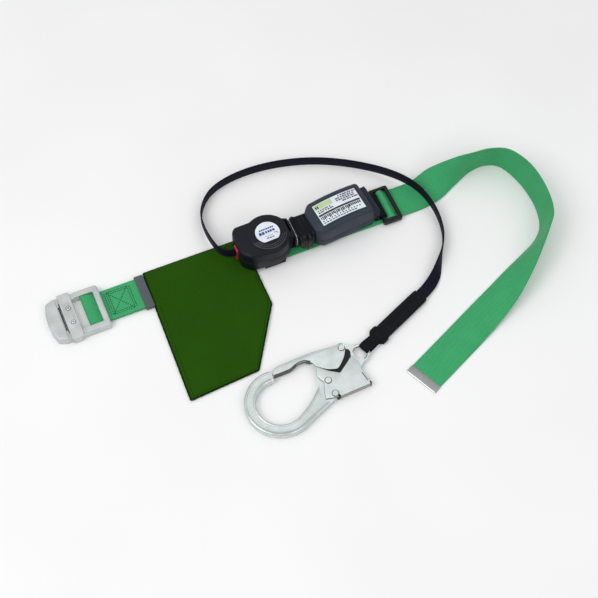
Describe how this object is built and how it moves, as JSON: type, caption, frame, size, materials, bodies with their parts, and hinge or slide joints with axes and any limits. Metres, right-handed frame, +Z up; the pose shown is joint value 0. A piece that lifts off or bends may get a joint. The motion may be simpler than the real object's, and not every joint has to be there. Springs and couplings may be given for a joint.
{
  "type": "self retracting lanyard belt",
  "caption": "Waist work belt laid out flat, with a retracting lanyard reel, energy absorber, snap hook, belt buckle, adjuster and hook pouch.",
  "frame": {"origin": "middle of the outfit's footprint, on the surface that it lies on", "axes": "+X along the straight belt from its buckle towards its adjuster, +Z up"},
  "size_m": [0.7438, 0.4461, 0.0506],
  "materials": {
    "belt_webbing": "woven polyester webbing, green",
    "tip_steel": "pressed steel clamp, satin",
    "buckle_alloy": "cast alloy, matt silver",
    "bright_steel": "plated steel",
    "keeper_band": "woven elastic, grey",
    "pouch_canvas": "twill canvas, dark green",
    "pouch_binding": "edge stitching, darker green",
    "reel_casing": "moulded nylon, black",
    "reel_label": "white vinyl label",
    "guide_red": "moulded acetal, red",
    "link_black": "black coated steel",
    "absorber_casing": "moulded rubber cover, slate grey",
    "absorber_label": "white vinyl label",
    "adjuster_black": "black coated steel",
    "lanyard_webbing": "woven aramid and polyester webbing, navy black",
    "sleeve_webbing": "woven nylon, black",
    "bush_bronze": "sintered bronze",
    "spring_steel": "spring steel",
    "hook_steel": "forged and pressed steel, bright plated"
  },
  "bodies": {
    "root": {"belt_webbing": "belt_webbing", "belt_tip": "tip_steel", "buckle_frame": "buckle_alloy", "buckle_bar": "bright_steel", "reel_front_cover": "reel_casing", "reel_rear_cover": "reel_casing", "reel_label": "reel_label", "webbing_guide": "guide_red", "reel_base_plate": "link_black", "reel_belt_bracket": "reel_casing", "reel_screws": "bright_steel", "spool_shaft": "bright_steel", "shaft_clip": "bright_steel", "power_spring": "spring_steel", "spring_case": "reel_casing", "ratchet_ring": "bright_steel", "link_ring": "link_black", "hitch_plate": "link_black", "absorber_upper_cover": "absorber_casing", "absorber_lower_cover": "absorber_casing", "tear_webbing": "lanyard_webbing", "absorber_front_loop": "sleeve_webbing", "absorber_label": "absorber_label", "absorber_neck": "absorber_casing", "adjuster_frame": "adjuster_black", "absorber_end_loop": "sleeve_webbing", "strap_end_loop": "sleeve_webbing", "strap_sleeve": "sleeve_webbing", "strap_keeper_band": "sleeve_webbing", "lanyard_strap": "lanyard_webbing"},
    "slider": {"buckle_slider": "buckle_alloy", "buckle_grip": "bright_steel", "buckle_screws": "bright_steel"},
    "keeper": {"belt_keeper": "keeper_band"},
    "pouch": {"pouch_back": "pouch_canvas", "pouch_front": "pouch_canvas", "pouch_binding": "pouch_binding", "pouch_belt_loop": "pouch_canvas"},
    "spool": {"spool_bush": "bush_bronze", "spool_drum": "reel_casing", "spool_lower_flange": "bright_steel", "spool_upper_flange": "bright_steel", "wound_strap": "lanyard_webbing", "pawl_pins": "bright_steel"},
    "pawl_a": {"lock_pawl_a": "bright_steel"},
    "pawl_b": {"lock_pawl_b": "bright_steel"},
    "hook": {"hook_body": "hook_steel", "gate_rivet": "hook_steel", "lever_rivet": "hook_steel", "gate_spring": "spring_steel", "lever_spring": "spring_steel"},
    "gate": {"hook_gate": "hook_steel"},
    "lever": {"safety_lever": "hook_steel", "stop_rivet": "hook_steel"}
  },
  "joints": [
    {"name": "buckle_slide", "type": "slide", "parent": "root", "child": "slider", "axis": [1, 0, 0], "range_m": [-0.004, 0.004]},
    {"name": "keeper_slide", "type": "slide", "parent": "root", "child": "keeper", "axis": [1, 0, 0], "range_m": [-0.045, 0]},
    {"name": "pouch_slide", "type": "slide", "parent": "root", "child": "pouch", "axis": [1, 0, 0], "range_m": [0, 0.012]},
    {"name": "spool_spin", "type": "hinge", "parent": "root", "child": "spool", "pos_m": [-0.03494, 0.13487, 0.02], "axis": [0, 0, 1], "continuous": true},
    {"name": "pawl_swing_a", "type": "hinge", "parent": "spool", "child": "pawl_a", "pos_m": [-0.03737, 0.14866, 0.0105], "axis": [0, 0, 1], "range_deg": [0, 8]},
    {"name": "pawl_swing_b", "type": "hinge", "parent": "spool", "child": "pawl_b", "pos_m": [-0.03251, 0.12108, 0.0105], "axis": [0, 0, 1], "range_deg": [0, 8]},
    {"name": "hook_swing", "type": "hinge", "parent": "root", "child": "hook", "pos_m": [0.02832, -0.07264, 0.006], "axis": [-0.3987, 0.9171, 0], "range_deg": [0, 80]},
    {"name": "gate_swing", "type": "hinge", "parent": "hook", "child": "gate", "pos_m": [-0.00414, -0.06133, 0.006], "axis": [0, 0, 1], "range_deg": [0, 28], "stiffness_Nm_per_rad": 0.2, "springref_deg": -17.19},
    {"name": "lever_swing", "type": "hinge", "parent": "hook", "child": "lever", "pos_m": [-0.04211, -0.10182, 0.006], "axis": [0, 0, 1], "range_deg": [0, 8]}
  ],
  "couplings": [
    {"joint": "lever_swing", "follows": "gate_swing", "ratio": 0.28571}
  ]
}
